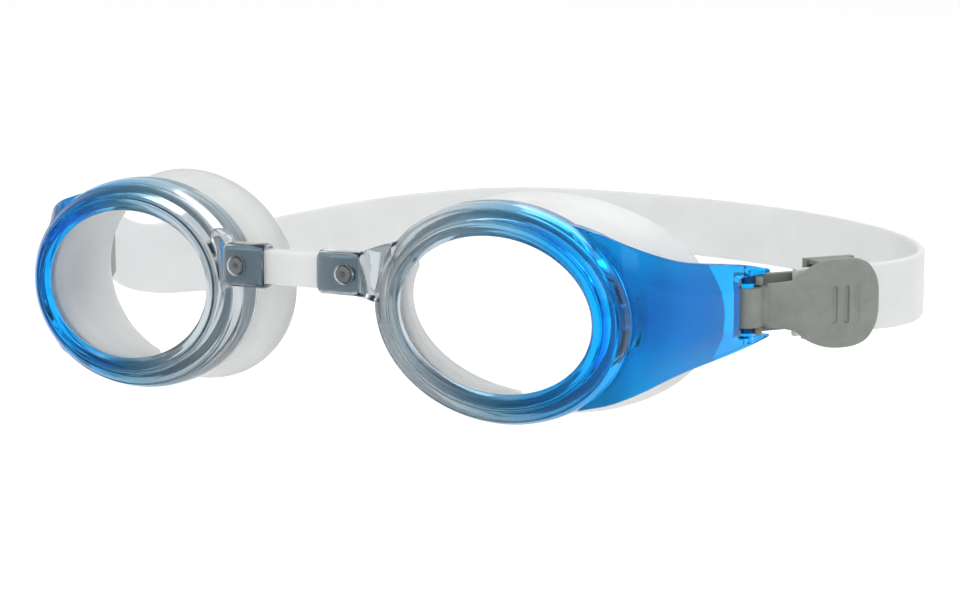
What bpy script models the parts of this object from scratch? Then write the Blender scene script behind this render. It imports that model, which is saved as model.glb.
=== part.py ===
"""Swim goggles: two eye cups, a soft nose bridge, and side clips on a silicone strap.

Metres, +Z up. The lenses face -Y and the wearer's face is at +Y. The origin is on the mid-plane,
between the rims of the two face seals. "Right" is the side at +X and "left" the side at -X.
Each eye cup has its own frame: u runs out to the temple, v up and w back to the face, in mm.
"""

import math

import bpy
from mathutils import Vector

MM = 0.001
RIGHT, LEFT = 1, -1
SIDE_NAMES = {RIGHT: "right", LEFT: "left"}

# Eye cups
CUP_X = 34.0 * MM  # half the distance between the two cup centres
CUP_FRONT_Y = -18.4 * MM  # the front plane of the cups
WRAP = math.radians(3.3)  # how far each cup turns outward
TILT = math.radians(-6)  # how far each cup turns in its own plane, which lowers its temple side
CUP_SEGMENTS = 40

# Bar that each clip turns on, at the end of the frame's arm
BAR = Vector((63.0 * MM, 16.6 * MM, -1.5 * MM))
BAR_RADIUS = 1.3 * MM
CLIP_ANGLE = {RIGHT: math.radians(50), LEFT: math.radians(62)}  # from the X axis, as the strap lies

# Nose bridge, a soft bar in a socket on each frame
BRIDGE_Y = -19.4 * MM
BRIDGE_Z = 5.5 * MM
BRIDGE_HALF_LENGTH = 12.1 * MM
BRIDGE_DEPTH = 2.6 * MM
BRIDGE_HEIGHT = 5.6 * MM
SOCKET_MOUTH_X = 4.9 * MM
SOCKET_HALF_DEPTH = 2.3 * MM
SOCKET_HALF_HEIGHT = 3.6 * MM
PIN_X = 9.8 * MM
PIN_RADIUS = 1.3 * MM
PIN_FRONT = 2.5 * MM  # from the bridge's middle to the pin's head, just proud of the socket
PIN_REAR = 1.3 * MM
PIN_DIMPLE_RADIUS = 0.55 * MM
PIN_DIMPLE_DEPTH = 0.5 * MM

# Head strap
STRAP_BACK = Vector((0.0, 97.6 * MM, -1.3 * MM))  # the middle of the strap, behind the head
STRAP_THICKNESS = 1.4 * MM
STRAP_HEIGHT = 11.2 * MM
STRAP_EXIT = 24.0 * MM  # from the bar to where the strap leaves its clip
STRAP_START = {RIGHT: 9.0 * MM, LEFT: 10.0 * MM}  # how deep in its clip each half begins
STRAP_LEAVE = {RIGHT: 24.0 * MM, LEFT: 5.0 * MM}  # the pull of the curve at the clip
STRAP_FLAT = {RIGHT: 60.0 * MM, LEFT: 100.0 * MM}  # and behind the head
STRAP_SAG = {RIGHT: 0.0, LEFT: 10.0 * MM}

GAP = 0.3 * MM  # between pieces that touch
CUT_PAST = 4.0 * MM  # how far a cutter runs past what it cuts

# Rings of the frame's cross-section, in mm: half width, half height, depth behind the front
# plane, and the share of the rim's own offset, going round the wall from the lens lip.
RIM_OFFSET = (-0.5, -0.3)
FRAME_RINGS = (
    (16.1, 12.4, 2.3, 0.0),
    (16.1, 12.4, 1.9, 0.0),
    (16.8, 13.3, 0.9, 0.0),
    (17.5, 14.1, 0.9, 0.1),
    (18.8, 15.6, 1.6, 0.4),
    (20.4, 16.8, 2.7, 0.8),
    (21.4, 17.6, 4.8, 1.0),
    (21.5, 17.7, 7.6, 1.0),
    (20.9, 17.1, 9.1, 1.0),
    (19.5, 15.8, 9.1, 0.2),
    (18.9, 15.2, 8.6, 0.0),
    (18.9, 15.2, 4.9, 0.0),
    (17.6, 14.2, 4.9, 0.0),
    (17.6, 14.2, 2.3, 0.0),
)

# Rings of the face seal, in mm: half width, half height, depth at u = 0, shift to the temple,
# slope, the depth gained for each mm towards the temple, and drop. Outside to the rim, then inside.
SEAL_RINGS = (
    (16.8, 13.2, 5.2, 0.0, 0.0, 0.0),
    (18.5, 14.8, 5.2, 0.0, 0.0, 0.0),
    (18.5, 14.8, 9.3, 0.0, 0.0, 0.0),
    (19.8, 16.0, 9.9, 0.2, 0.0, -0.1),
    (21.0, 16.4, 13.0, 0.4, 0.08, -0.4),
    (22.6, 16.9, 17.0, 0.7, 0.18, -0.7),
    (25.9, 18.1, 21.6, 1.2, 0.28, -1.1),
    (26.3, 18.3, 22.4, 1.2, 0.295, -1.1),
    (25.8, 17.9, 22.9, 1.2, 0.295, -1.1),
    (23.8, 16.3, 22.9, 1.2, 0.295, -1.1),
    (21.4, 15.2, 22.0, 1.0, 0.29, -1.0),
    (19.6, 14.2, 20.0, 0.6, 0.26, -0.8),
    (18.6, 13.9, 15.0, 0.4, 0.14, -0.4),
    (17.6, 13.6, 9.0, 0.2, 0.0, -0.1),
)

# The space that the frame leaves free for the seal, as a solid along the cup's axis.
SEAL_SPACE = (
    (20.0, 16.2, -6.0, 0.0, 0.0, 0.0),
    (20.0, 16.2, 8.0, 0.0, 0.0, 0.0),
    (20.9, 17.0, 10.0, 0.2, 0.0, -0.1),
    (22.0, 17.4, 13.0, 0.4, 0.08, -0.4),
    (23.6, 17.9, 17.0, 0.7, 0.18, -0.7),
    (26.8, 19.0, 21.6, 1.2, 0.28, -1.1),
    (27.2, 19.2, 22.4, 1.2, 0.295, -1.1),
    (27.2, 19.2, 36.0, 1.2, 0.295, -1.1),
)

# The lens, from its rear edge round to the middle of its front, as half width, half height, depth.
LENS_RINGS = (
    (17.3, 13.9, 4.6),
    (17.3, 13.9, 2.8),
    (17.0, 13.6, 2.6),
    (15.4, 11.9, 2.4),
    (8.0, 6.2, 2.1),
)

# The arm, in mm, along its outer surface: x, depth behind the front plane, half height, thickness.
ARM_STATIONS = (
    (42.0, 6.1, 14.6, 2.6),
    (45.0, 6.3, 14.7, 3.0),
    (48.0, 6.6, 14.0, 3.0),
    (51.0, 7.2, 13.2, 3.0),
    (53.9, 8.8, 12.1, 2.8),
    (56.7, 12.0, 10.8, 2.6),
    (59.4, 17.3, 9.2, 2.6),
    (61.6, 23.5, 8.2, 2.6),
    (63.2, 29.3, 7.5, 2.6),
    (64.5, 34.7, 6.7, 2.6),
    (65.8, 39.4, 5.7, 2.4),
)
ARM_ROOT_Z = -0.4 * MM  # the arm's middle at the cup, from where it runs down to the bar
ARM_WINDOW_HALF_HEIGHT = 5.1 * MM  # leaves the two horns and room for the clip's hooks
ARM_WINDOW_FRONT = 3.9 * MM  # from the bar's axis to the slot's front edge

# The clip's lever, in mm, along the clip: distance from the bar, height of its middle off the
# strap, thickness, half height.
LEVER_STATIONS = (
    (1.8, 0.3, 1.7, 3.1),
    (3.1, 0.6, 1.9, 3.1),
    (3.5, 0.8, 2.0, 3.6),
    (5.5, 1.7, 2.1, 3.8),
    (7.6, 2.75, 2.1, 4.3),
    (9.2, 2.95, 2.4, 5.5),
    (11.0, 3.15, 2.7, 6.5),
    (13.2, 3.35, 3.1, 7.2),
    (15.9, 3.45, 3.3, 7.4),
    (18.6, 3.3, 3.0, 7.2),
    (20.9, 3.05, 2.5, 6.3),
    (22.5, 2.8, 1.8, 4.4),
    (23.1, 2.7, 1.2, 2.7),
)
HOOK_INNER = 1.6 * MM
HOOK_OUTER = 2.7 * MM
# The side of each hook that is left open for the bar to snap in: off the strap on the base's
# hooks and towards it on the lever's, so that together they close round the bar.
BASE_HOOK_MOUTH = (math.radians(35), math.radians(145))
LEVER_HOOK_MOUTH = (math.radians(215), math.radians(325))
BASE_HOOK_Z = (3.5 * MM, 4.7 * MM)
LEVER_HOOK_Z = 3.2 * MM
BASE_PLATE_FACE = -1.7 * MM  # the plate's side that faces the strap
BASE_PLATE_THICKNESS = 1.3 * MM
BASE_ROOT = 2.8 * MM  # from the bar to where the plate starts
BASE_WAIST = 9.0 * MM  # from the bar to where the plate widens for the strap
BASE_LENGTH = 21.3 * MM
WEB_START = 1.0 * MM  # in the hooks, which the webs join to the plate
CHEEK_Z = (5.9 * MM, 6.7 * MM)
CHEEK_START = 9.5 * MM
CHEEK_END = 20.0 * MM
CHEEK_TOP = 1.35 * MM
JOIN = 0.2 * MM  # how far two parts of one moulding run into each other
INSET = 0.05 * MM  # keeps their faces out of one plane


def clear_scene():
    for obj in list(bpy.data.objects):
        bpy.data.objects.remove(obj, do_unlink=True)


def material(name, colour, roughness, transmission=0.0, alpha=1.0):
    made = bpy.data.materials.new(name)
    made.use_nodes = True
    shader = made.node_tree.nodes["Principled BSDF"]
    shader.inputs["Base Color"].default_value = (*colour, 1.0)
    shader.inputs["Roughness"].default_value = roughness
    shader.inputs["Metallic"].default_value = 0.0
    shader.inputs["Transmission Weight"].default_value = transmission
    shader.inputs["Alpha"].default_value = alpha
    made.diffuse_color = (*colour, alpha)
    return made


def add_object(name, points, faces, side, origin=Vector(), finish=None):
    """One mesh object. Points are for the right side, and side -1 mirrors them to the left."""
    origin = Vector((side * origin.x, origin.y, origin.z))
    placed = [Vector((side * point.x, point.y, point.z)) - origin for point in points]
    if side == LEFT:
        faces = [tuple(reversed(face)) for face in faces]
    mesh = bpy.data.meshes.new(name)
    mesh.from_pydata(placed, [], faces)
    mesh.shade_smooth()
    mesh.set_sharp_from_angle(angle=math.radians(35))
    obj = bpy.data.objects.new(name, mesh)
    obj.location = origin
    bpy.context.scene.collection.objects.link(obj)
    if finish:
        mesh.materials.append(finish)
    return obj


def helper(obj):
    """Marks an object as a cutter or a shape that a Boolean adds, which isn't a piece itself."""
    obj.hide_render = True
    obj.display_type = "WIRE"
    return obj


def boolean(target, operation, other):
    """A Boolean of two closed meshes. EXACT loses the cup's ring here, so this uses MANIFOLD."""
    modifier = target.modifiers.new(f"{operation.lower()} {other.name}", "BOOLEAN")
    modifier.operation = operation
    modifier.solver = "MANIFOLD"
    modifier.object = helper(other)


def ring_faces(rings, count, closed):
    """Quads between successive rings of count points. closed joins the last ring to the first."""
    faces = []
    for ring in range(rings if closed else rings - 1):
        following = (ring + 1) % rings
        for i in range(count):
            j = (i + 1) % count
            faces.append(
                (ring * count + i, ring * count + j, following * count + j, following * count + i)
            )
    return faces


def loft(sections):
    """A solid through closed sections of equal point count, with flat ends."""
    count = len(sections[0])
    last = (len(sections) - 1) * count
    faces = ring_faces(len(sections), count, closed=False)
    faces.append(tuple(range(count - 1, -1, -1)))
    faces.append(tuple(range(last, last + count)))
    return [point for section in sections for point in section], faces


def cup_point(u, v, w):
    """A point of the right cup's own frame, in mm, as a place in the object."""
    across = u * math.cos(TILT) - v * math.sin(TILT)
    up = u * math.sin(TILT) + v * math.cos(TILT)
    x = CUP_X + (across * math.cos(WRAP) - w * math.sin(WRAP)) * MM
    y = CUP_FRONT_Y + (across * math.sin(WRAP) + w * math.cos(WRAP)) * MM
    return Vector((x, y, up * MM))


def cup_ring(half_width, half_height, depth, shift=0.0, slope=0.0, drop=0.0):
    """An ellipse around the cup's axis, counterclockwise as seen from the face side."""
    ring = []
    for i in range(CUP_SEGMENTS):
        turn = 2 * math.pi * i / CUP_SEGMENTS
        u = shift + half_width * math.cos(turn)
        v = drop - half_height * math.sin(turn)
        ring.append(cup_point(u, v, depth + slope * u))
    return ring


def rounded_section(middle, across, up, half_width, half_height, power=4.0, count=16):
    """A closed section between an ellipse (power 2) and a rectangle, in the plane of two axes."""
    section = []
    for i in range(count):
        turn = 2 * math.pi * i / count
        c = math.cos(turn)
        s = math.sin(turn)
        x = math.copysign(abs(c) ** (2 / power), c) * half_width
        z = math.copysign(abs(s) ** (2 / power), s) * half_height
        section.append(middle + across * x + up * z)
    return section


def box_between(low, high, along=Vector((1, 0, 0)), base=Vector()):
    """Points and faces of a box whose first axis is along and whose third is Z."""
    across = Vector((0, 0, 1)).cross(along)
    sections = []
    for x in (low[0], high[0]):
        corners = ((low[1], low[2]), (high[1], low[2]), (high[1], high[2]), (low[1], high[2]))
        middle = base + along * x
        sections.append([middle + across * y + Vector((0, 0, z)) for y, z in corners])
    return loft(sections)


def cylinder_between(start, end, radius, count=16):
    axis = (end - start).normalized()
    across = axis.orthogonal().normalized()
    up = axis.cross(across)
    sections = [
        rounded_section(middle, across, up, radius, radius, 2.0, count) for middle in (start, end)
    ]
    return loft(sections)


def frame_ring(side, finish):
    rings = []
    for half_width, half_height, depth, share in FRAME_RINGS:
        shift = RIM_OFFSET[0] * share
        drop = RIM_OFFSET[1] * share
        rings.append(cup_ring(half_width, half_height, depth, shift, 0.0, drop))
    faces = ring_faces(len(rings), CUP_SEGMENTS, closed=True)
    points = [point for ring in rings for point in ring]
    origin = Vector() if side == RIGHT else Vector((0, BRIDGE_Y, BRIDGE_Z))
    return add_object(f"{SIDE_NAMES[side]}_frame", points, faces, side, origin, finish)


def seal_space(side):
    rings = [cup_ring(*row) for row in SEAL_SPACE]
    return add_object(f"seal_space_{SIDE_NAMES[side]}", *loft(rings), side)


def arm_direction():
    """The direction of the arm's last stretch, seen from above."""
    (x0, y0, _, _), (x1, y1, _, _) = ARM_STATIONS[-3], ARM_STATIONS[-1]
    return Vector((x1 - x0, y1 - y0, 0)).normalized()


def arm(side):
    """The band from the cup's temple side back to the bar, with its end opened for the clip."""
    first_x = ARM_STATIONS[0][0]
    last_x = ARM_STATIONS[-1][0]
    rows = []
    for x, depth, _, _ in ARM_STATIONS:
        share = (x - first_x) / (last_x - first_x)
        z = ARM_ROOT_Z + (BAR.z - ARM_ROOT_Z) * share
        rows.append(Vector((x * MM, CUP_FRONT_Y + depth * MM, z)))
    sections = []
    for i, (_, _, half_height, thickness) in enumerate(ARM_STATIONS):
        along = (rows[min(i + 1, len(rows) - 1)] - rows[max(i - 1, 0)]).normalized()
        inward = Vector((0, 0, 1)).cross(along)
        middle = rows[i] + inward * thickness * MM / 2
        up = Vector((0, 0, 1))
        half_thickness = thickness * MM / 2
        sections.append(
            rounded_section(middle, inward, up, half_thickness, half_height * MM, power=5.0)
        )
    name = SIDE_NAMES[side]
    band = add_object(f"arm_{name}", *loft(sections), side)
    window = box_between(
        (-ARM_WINDOW_FRONT, -CUT_PAST, -ARM_WINDOW_HALF_HEIGHT),
        (3 * CUT_PAST, CUT_PAST, ARM_WINDOW_HALF_HEIGHT),
        arm_direction(),
        BAR,
    )
    boolean(band, "DIFFERENCE", seal_space(side))
    boolean(band, "DIFFERENCE", add_object(f"arm_window_{name}", *window, side))
    reach = Vector((0, 0, ARM_WINDOW_HALF_HEIGHT + 0.9 * MM))
    bar = cylinder_between(BAR - reach, BAR + reach, BAR_RADIUS)
    boolean(band, "UNION", add_object(f"arm_bar_{name}", *bar, side))
    return band


def socket_section(x, y_span, z_span, power=6.0):
    """A rounded rectangle across the X axis, from its spans in Y and Z."""
    middle = Vector((x, sum(y_span) / 2, sum(z_span) / 2))
    half_depth = (y_span[1] - y_span[0]) / 2
    half_height = (z_span[1] - z_span[0]) / 2
    return rounded_section(
        middle, Vector((0, 1, 0)), Vector((0, 0, 1)), half_depth, half_height, power, 16
    )


def socket(side):
    """The sleeve that takes the nose bridge, growing into the cup's nose side.

    Each row is x, then how far the front, the rear, the bottom and the top stand out from the
    sleeve's own box, all in mm.
    """
    rows = (
        (SOCKET_MOUTH_X / MM, -0.2, -0.2, -0.2, -0.2),
        (5.3, 0.0, 0.0, 0.0, 0.0),
        (11.6, 0.0, 0.0, 0.0, 0.0),
        (13.4, -1.6, 1.8, 0.8, 0.5),
        (16.5, -3.6, 4.4, 2.4, 1.4),
    )
    sections = []
    for x, front, rear, bottom, top in rows:
        y_span = (
            BRIDGE_Y - SOCKET_HALF_DEPTH - front * MM,
            BRIDGE_Y + SOCKET_HALF_DEPTH + rear * MM,
        )
        z_span = (
            BRIDGE_Z - SOCKET_HALF_HEIGHT - bottom * MM,
            BRIDGE_Z + SOCKET_HALF_HEIGHT + top * MM,
        )
        sections.append(socket_section(x * MM, y_span, z_span))
    body = add_object(f"socket_{SIDE_NAMES[side]}", *loft(sections), side)
    boolean(body, "DIFFERENCE", seal_space(side))
    return body


def socket_cavity(side):
    half_depth = BRIDGE_DEPTH / 2 + GAP
    half_height = BRIDGE_HEIGHT / 2 + GAP
    spans = (
        (BRIDGE_Y - half_depth, BRIDGE_Y + half_depth),
        (BRIDGE_Z - half_height, BRIDGE_Z + half_height),
    )
    ends = (SOCKET_MOUTH_X - CUT_PAST / 2, BRIDGE_HALF_LENGTH + GAP)
    sections = [socket_section(x, *spans) for x in ends]
    return add_object(f"socket_cavity_{SIDE_NAMES[side]}", *loft(sections), side)


def pin_hole(name, side):
    start = Vector((PIN_X, BRIDGE_Y - CUT_PAST, BRIDGE_Z))
    end = Vector((PIN_X, BRIDGE_Y + PIN_REAR + GAP, BRIDGE_Z))
    hole = cylinder_between(start, end, PIN_RADIUS + GAP)
    return add_object(f"{name}_{SIDE_NAMES[side]}", *hole, side)


def build_frame(side, finish):
    frame = frame_ring(side, finish)
    boolean(frame, "UNION", arm(side))
    boolean(frame, "UNION", socket(side))
    boolean(frame, "DIFFERENCE", socket_cavity(side))
    boolean(frame, "DIFFERENCE", pin_hole("frame_pin_hole", side))


def build_lens(side, finish):
    """A clear plate that is flat behind and slightly domed in front."""
    rings = [cup_ring(*row) for row in LENS_RINGS]
    faces = ring_faces(len(rings), CUP_SEGMENTS, closed=False)
    last = (len(rings) - 1) * CUP_SEGMENTS
    faces.append(tuple(range(CUP_SEGMENTS - 1, -1, -1)))
    faces.append(tuple(range(last, last + CUP_SEGMENTS)))
    faces = [tuple(reversed(face)) for face in faces]
    points = [point for ring in rings for point in ring]
    add_object(f"{SIDE_NAMES[side]}_lens", points, faces, side, finish=finish)


def build_seal(side, finish):
    """The soft cup that seals round the eye. Its rim is flat and turned to the face."""
    rings = [cup_ring(*row) for row in SEAL_RINGS]
    faces = ring_faces(len(rings), CUP_SEGMENTS, closed=True)
    points = [point for ring in rings for point in ring]
    add_object(f"{SIDE_NAMES[side]}_seal", points, faces, side, finish=finish)


def build_nose_bridge(finish):
    """One soft bar, with a hole near each end for the pin that locks it in its socket."""
    half_depth = BRIDGE_DEPTH / 2
    half_height = BRIDGE_HEIGHT / 2
    spans = (
        (BRIDGE_Y - half_depth, BRIDGE_Y + half_depth),
        (BRIDGE_Z - half_height, BRIDGE_Z + half_height),
    )
    steps = 8
    sections = []
    for i in range(steps + 1):
        x = BRIDGE_HALF_LENGTH * (2 * i / steps - 1)
        sections.append(socket_section(x, *spans, power=5.0))
    bar = add_object("nose_bridge", *loft(sections), RIGHT, Vector((0, BRIDGE_Y, BRIDGE_Z)), finish)
    for side in (RIGHT, LEFT):
        boolean(bar, "DIFFERENCE", pin_hole("bridge_pin_hole", side))


def build_bridge_pin(side, finish):
    """A short pin with a dimple in its head, through the socket's front wall and the bridge."""
    front = Vector((PIN_X, BRIDGE_Y - PIN_FRONT, BRIDGE_Z))
    rear = Vector((PIN_X, BRIDGE_Y + PIN_REAR, BRIDGE_Z))
    across = Vector((1, 0, 0))
    up = Vector((0, 0, 1))
    profile = (
        (rear, PIN_RADIUS),
        (front, PIN_RADIUS),
        (front, PIN_DIMPLE_RADIUS),
        (front + Vector((0, PIN_DIMPLE_DEPTH, 0)), PIN_DIMPLE_RADIUS / 2),
    )
    sections = [rounded_section(place, across, up, r, r, 2.0, 16) for place, r in profile]
    add_object(f"{SIDE_NAMES[side]}_bridge_pin", *loft(sections), side, finish=finish)


def clip_axes(side):
    """Along the clip and off its face, for the right side or for the left mirrored to the right."""
    turn = CLIP_ANGLE[side]
    along = Vector((math.cos(turn), math.sin(turn), 0))
    return along, Vector((0, 0, 1)).cross(along) * -1


def hook(side, mouth, low, high):
    """A C around the bar, open at its mouth, from low to high above the bar's middle."""
    along, off_face = clip_axes(side)
    steps = 14
    start = mouth[1]
    sweep = 2 * math.pi - (mouth[1] - mouth[0])
    outline = []
    for radius, order in ((HOOK_OUTER, range(steps + 1)), (HOOK_INNER, range(steps, -1, -1))):
        for i in order:
            turn = start + sweep * i / steps
            outline.append(BAR + (along * math.cos(turn) + off_face * math.sin(turn)) * radius)
    sections = [[point + Vector((0, 0, z)) for point in outline] for z in (low, high)]
    points, faces = loft(sections)
    return points, [tuple(reversed(face)) for face in faces]


def clip_box(side, low, high):
    """A box in the clip's frame: along the clip, off the strap towards the face, and up."""
    along, _ = clip_axes(side)
    return box_between((low[0], -high[1], low[2]), (high[0], -low[1], high[2]), along, BAR)


def build_clip_base(side, finish):
    """The clip's rear half: a plate behind the strap, two cheeks beside it and two hooks."""
    name = SIDE_NAMES[side]
    top = BASE_PLATE_FACE
    bottom = BASE_PLATE_FACE - BASE_PLATE_THICKNESS
    plate_z = BASE_HOOK_Z[1]
    tail_z = CHEEK_Z[1]
    plate = clip_box(side, (BASE_ROOT, bottom, -plate_z), (BASE_WAIST + JOIN, top, plate_z))
    base = add_object(f"{name}_clip_base", *plate, side, BAR, finish)
    tail = clip_box(side, (BASE_WAIST, bottom, -tail_z), (BASE_LENGTH, top, tail_z))
    boolean(base, "UNION", add_object(f"base_tail_{name}", *tail, side))
    for level, sign in (("upper", 1), ("lower", -1)):
        low, high = sorted((sign * BASE_HOOK_Z[0], sign * BASE_HOOK_Z[1]))
        web = clip_box(
            side,
            (WEB_START, bottom + 2 * INSET, low + INSET),
            (BASE_ROOT + JOIN, top + 2 * INSET, high - INSET),
        )
        boolean(base, "UNION", add_object(f"base_{level}_web_{name}", *web, side))
        wall = hook(side, BASE_HOOK_MOUTH, low, high)
        boolean(base, "UNION", add_object(f"base_{level}_hook_{name}", *wall, side))
        low, high = sorted((sign * CHEEK_Z[0], sign * (CHEEK_Z[1] - INSET)))
        cheek = clip_box(side, (CHEEK_START, top - JOIN, low), (CHEEK_END, CHEEK_TOP, high))
        boolean(base, "UNION", add_object(f"base_{level}_cheek_{name}", *cheek, side))


def build_clip_lever(side, finish):
    """The clip's front half: a neck and a soft-cornered thumb pad, hooked on the bar."""
    name = SIDE_NAMES[side]
    along, off_face = clip_axes(side)
    sections = []
    for distance, height, thickness, half_height in LEVER_STATIONS:
        middle = BAR + along * distance * MM + off_face * height * MM
        sections.append(
            rounded_section(
                middle, -off_face, Vector((0, 0, 1)), thickness * MM / 2, half_height * MM, 3.6, 20
            )
        )
    lever = add_object(f"{name}_clip_lever", *loft(sections), side, BAR, finish)
    wall = hook(side, LEVER_HOOK_MOUTH, -LEVER_HOOK_Z, LEVER_HOOK_Z)
    boolean(lever, "UNION", add_object(f"lever_hook_{name}", *wall, side))


def bezier(p0, p1, p2, p3, t):
    s = 1 - t
    return p0 * s**3 + p1 * 3 * s * s * t + p2 * 3 * s * t * t + p3 * t**3


def strap_path(side, steps=24):
    """The strap's middle line for one half, from inside its clip to the back of the head.

    The sag is how far its middle hangs below a level line. The back end stops half a gap before
    the middle.
    """
    along, _ = clip_axes(side)
    start = STRAP_START[side]
    out = BAR + along * STRAP_EXIT
    back = STRAP_BACK
    path = [BAR + along * start, BAR + along * (start + STRAP_EXIT) / 2]
    for i in range(steps + 1):
        t = i / steps
        leaving = out + along * STRAP_LEAVE[side]
        arriving = back + Vector((STRAP_FLAT[side], 0, 0))
        place = bezier(out, leaving, arriving, back, t)
        rise = (back.z - BAR.z) * t * t * (3 - 2 * t)
        place.z = BAR.z + rise - 16 * STRAP_SAG[side] * t * t * (1 - t) ** 2
        path.append(place)
    path[-1].x = GAP / 2
    return path


def build_strap_half(side, origin, finish):
    path = strap_path(side)
    sections = []
    for i, middle in enumerate(path):
        before = path[max(i - 1, 0)]
        after = path[min(i + 1, len(path) - 1)]
        along = (after - before).normalized()
        if i == len(path) - 1:
            along = Vector((-1, 0, 0))
        up = Vector((0, 0, 1))
        across = up.cross(along).normalized()
        sections.append(
            rounded_section(middle, across, up, STRAP_THICKNESS / 2, STRAP_HEIGHT / 2, 7.0, 12)
        )
    add_object(f"{SIDE_NAMES[side]}_strap", *loft(sections), side, origin, finish)


def joint_axis(name, place):
    """An empty on a joint's axis."""
    empty = bpy.data.objects.new(name, None)
    empty.location = place
    empty.empty_display_size = 5 * MM
    bpy.context.scene.collection.objects.link(empty)


def main():
    clear_scene()
    polycarbonate = material("blue_polycarbonate", (0.05, 0.28, 0.75), 0.08, 0.6)
    clear = material("clear_polycarbonate", (0.95, 0.97, 0.98), 0.03, 0.9, 0.4)
    silicone = material("frosted_silicone", (0.82, 0.83, 0.82), 0.45, 0.3)
    smoke = material("smoke_plastic", (0.35, 0.38, 0.40), 0.2)
    soft_grey = material("soft_grey_plastic", (0.30, 0.33, 0.31), 0.6)
    for side in (RIGHT, LEFT):
        build_frame(side, polycarbonate)
        build_lens(side, clear)
        build_seal(side, silicone)
        build_bridge_pin(side, smoke)
        build_clip_base(side, soft_grey)
        build_clip_lever(side, soft_grey)
        joint_axis(f"{SIDE_NAMES[side]}_clip_axis", Vector((side * BAR.x, BAR.y, BAR.z)))
    build_nose_bridge(silicone)
    build_strap_half(RIGHT, BAR, silicone)
    build_strap_half(LEFT, STRAP_BACK, silicone)
    joint_axis("bridge_axis", Vector((0, BRIDGE_Y, BRIDGE_Z)))
    joint_axis("strap_axis", STRAP_BACK)


main()
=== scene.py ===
"""Looks of the swim goggles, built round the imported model.

Lengths in the tables are millimetres, in the CAD's frame: +X to the right-hand clip, +Z up, and the
lenses face -Y. Each eye cup has its own frame: u runs out to the temple, v up and w back to the face.
Shapes are made for the right side and mirrored for the left.
"""

import math

import bpy
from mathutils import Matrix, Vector

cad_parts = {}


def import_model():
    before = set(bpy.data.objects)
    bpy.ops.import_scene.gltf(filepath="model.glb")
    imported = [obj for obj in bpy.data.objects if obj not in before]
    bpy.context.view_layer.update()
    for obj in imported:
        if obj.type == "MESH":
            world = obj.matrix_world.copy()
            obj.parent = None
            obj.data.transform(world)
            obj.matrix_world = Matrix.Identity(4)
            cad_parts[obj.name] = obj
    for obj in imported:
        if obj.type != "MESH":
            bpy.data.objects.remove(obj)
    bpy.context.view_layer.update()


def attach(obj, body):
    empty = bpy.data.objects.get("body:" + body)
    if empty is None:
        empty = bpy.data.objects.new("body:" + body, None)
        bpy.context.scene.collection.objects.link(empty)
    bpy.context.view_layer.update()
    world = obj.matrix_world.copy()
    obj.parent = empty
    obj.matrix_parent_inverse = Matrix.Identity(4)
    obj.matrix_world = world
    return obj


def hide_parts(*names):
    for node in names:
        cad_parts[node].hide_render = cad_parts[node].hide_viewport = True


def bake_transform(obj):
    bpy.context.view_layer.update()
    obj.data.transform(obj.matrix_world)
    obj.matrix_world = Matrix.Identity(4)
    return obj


MM = 0.001
RIGHT, LEFT = 1, -1
SIDE_NAMES = {RIGHT: "right", LEFT: "left"}
UP = Vector((0, 0, 1))

# Camera, about the goggles
CAMERA_AZIMUTH = math.radians(25.9)
CAMERA_ELEVATION = math.radians(9.8)
CAMERA_DISTANCE = 450 * MM
CAMERA_RIGHT = 29.0 * MM
CAMERA_UP = 0.2 * MM
CAMERA_AIM_Y = -18.4 * MM
CAMERA_LENS = 105.3
SENSOR_WIDTH = 36.0

# Eye cups
CUP_X = 34.0
CUP_FRONT_Y = -18.4
WRAP = math.radians(3.3)
TILT = math.radians(-6)  # lowers the cup's temple side
CUP_SEGMENTS = 176

# Rows are half width, half height, depth behind the front plane and share of the rim's offset.
RIM_OFFSET = (-0.5, -0.3)
FRAME_ROWS = (
    (16.1, 12.4, 2.3, 0.0),
    (16.1, 12.4, 1.75, 0.0),
    (16.7, 13.15, 1.05, 0.0),
    (17.3, 13.9, 0.9, 0.0),
    (17.75, 14.4, 0.95, 0.1),
    (17.95, 14.62, 1.45, 0.12),
    (18.2, 14.92, 1.5, 0.18),
    (18.35, 15.1, 1.2, 0.22),
    (19.2, 15.9, 1.75, 0.45),
    (20.1, 16.6, 2.55, 0.7),
    (20.2, 16.65, 3.0, 0.74),
    (20.65, 16.95, 3.05, 0.85),
    (21.25, 17.5, 4.4, 1.0),
    (21.5, 17.7, 5.9, 1.0),
    (21.4, 17.6, 6.2, 1.0),
    (21.5, 17.7, 6.6, 1.0),
    (21.45, 17.65, 7.9, 1.0),
    (20.9, 17.1, 9.1, 1.0),
    (19.5, 15.8, 9.1, 0.2),
    (18.9, 15.2, 8.6, 0.0),
    (18.9, 15.2, 4.9, 0.0),
    (17.6, 14.2, 4.9, 0.0),
    (17.6, 14.2, 2.3, 0.0),
)
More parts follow.
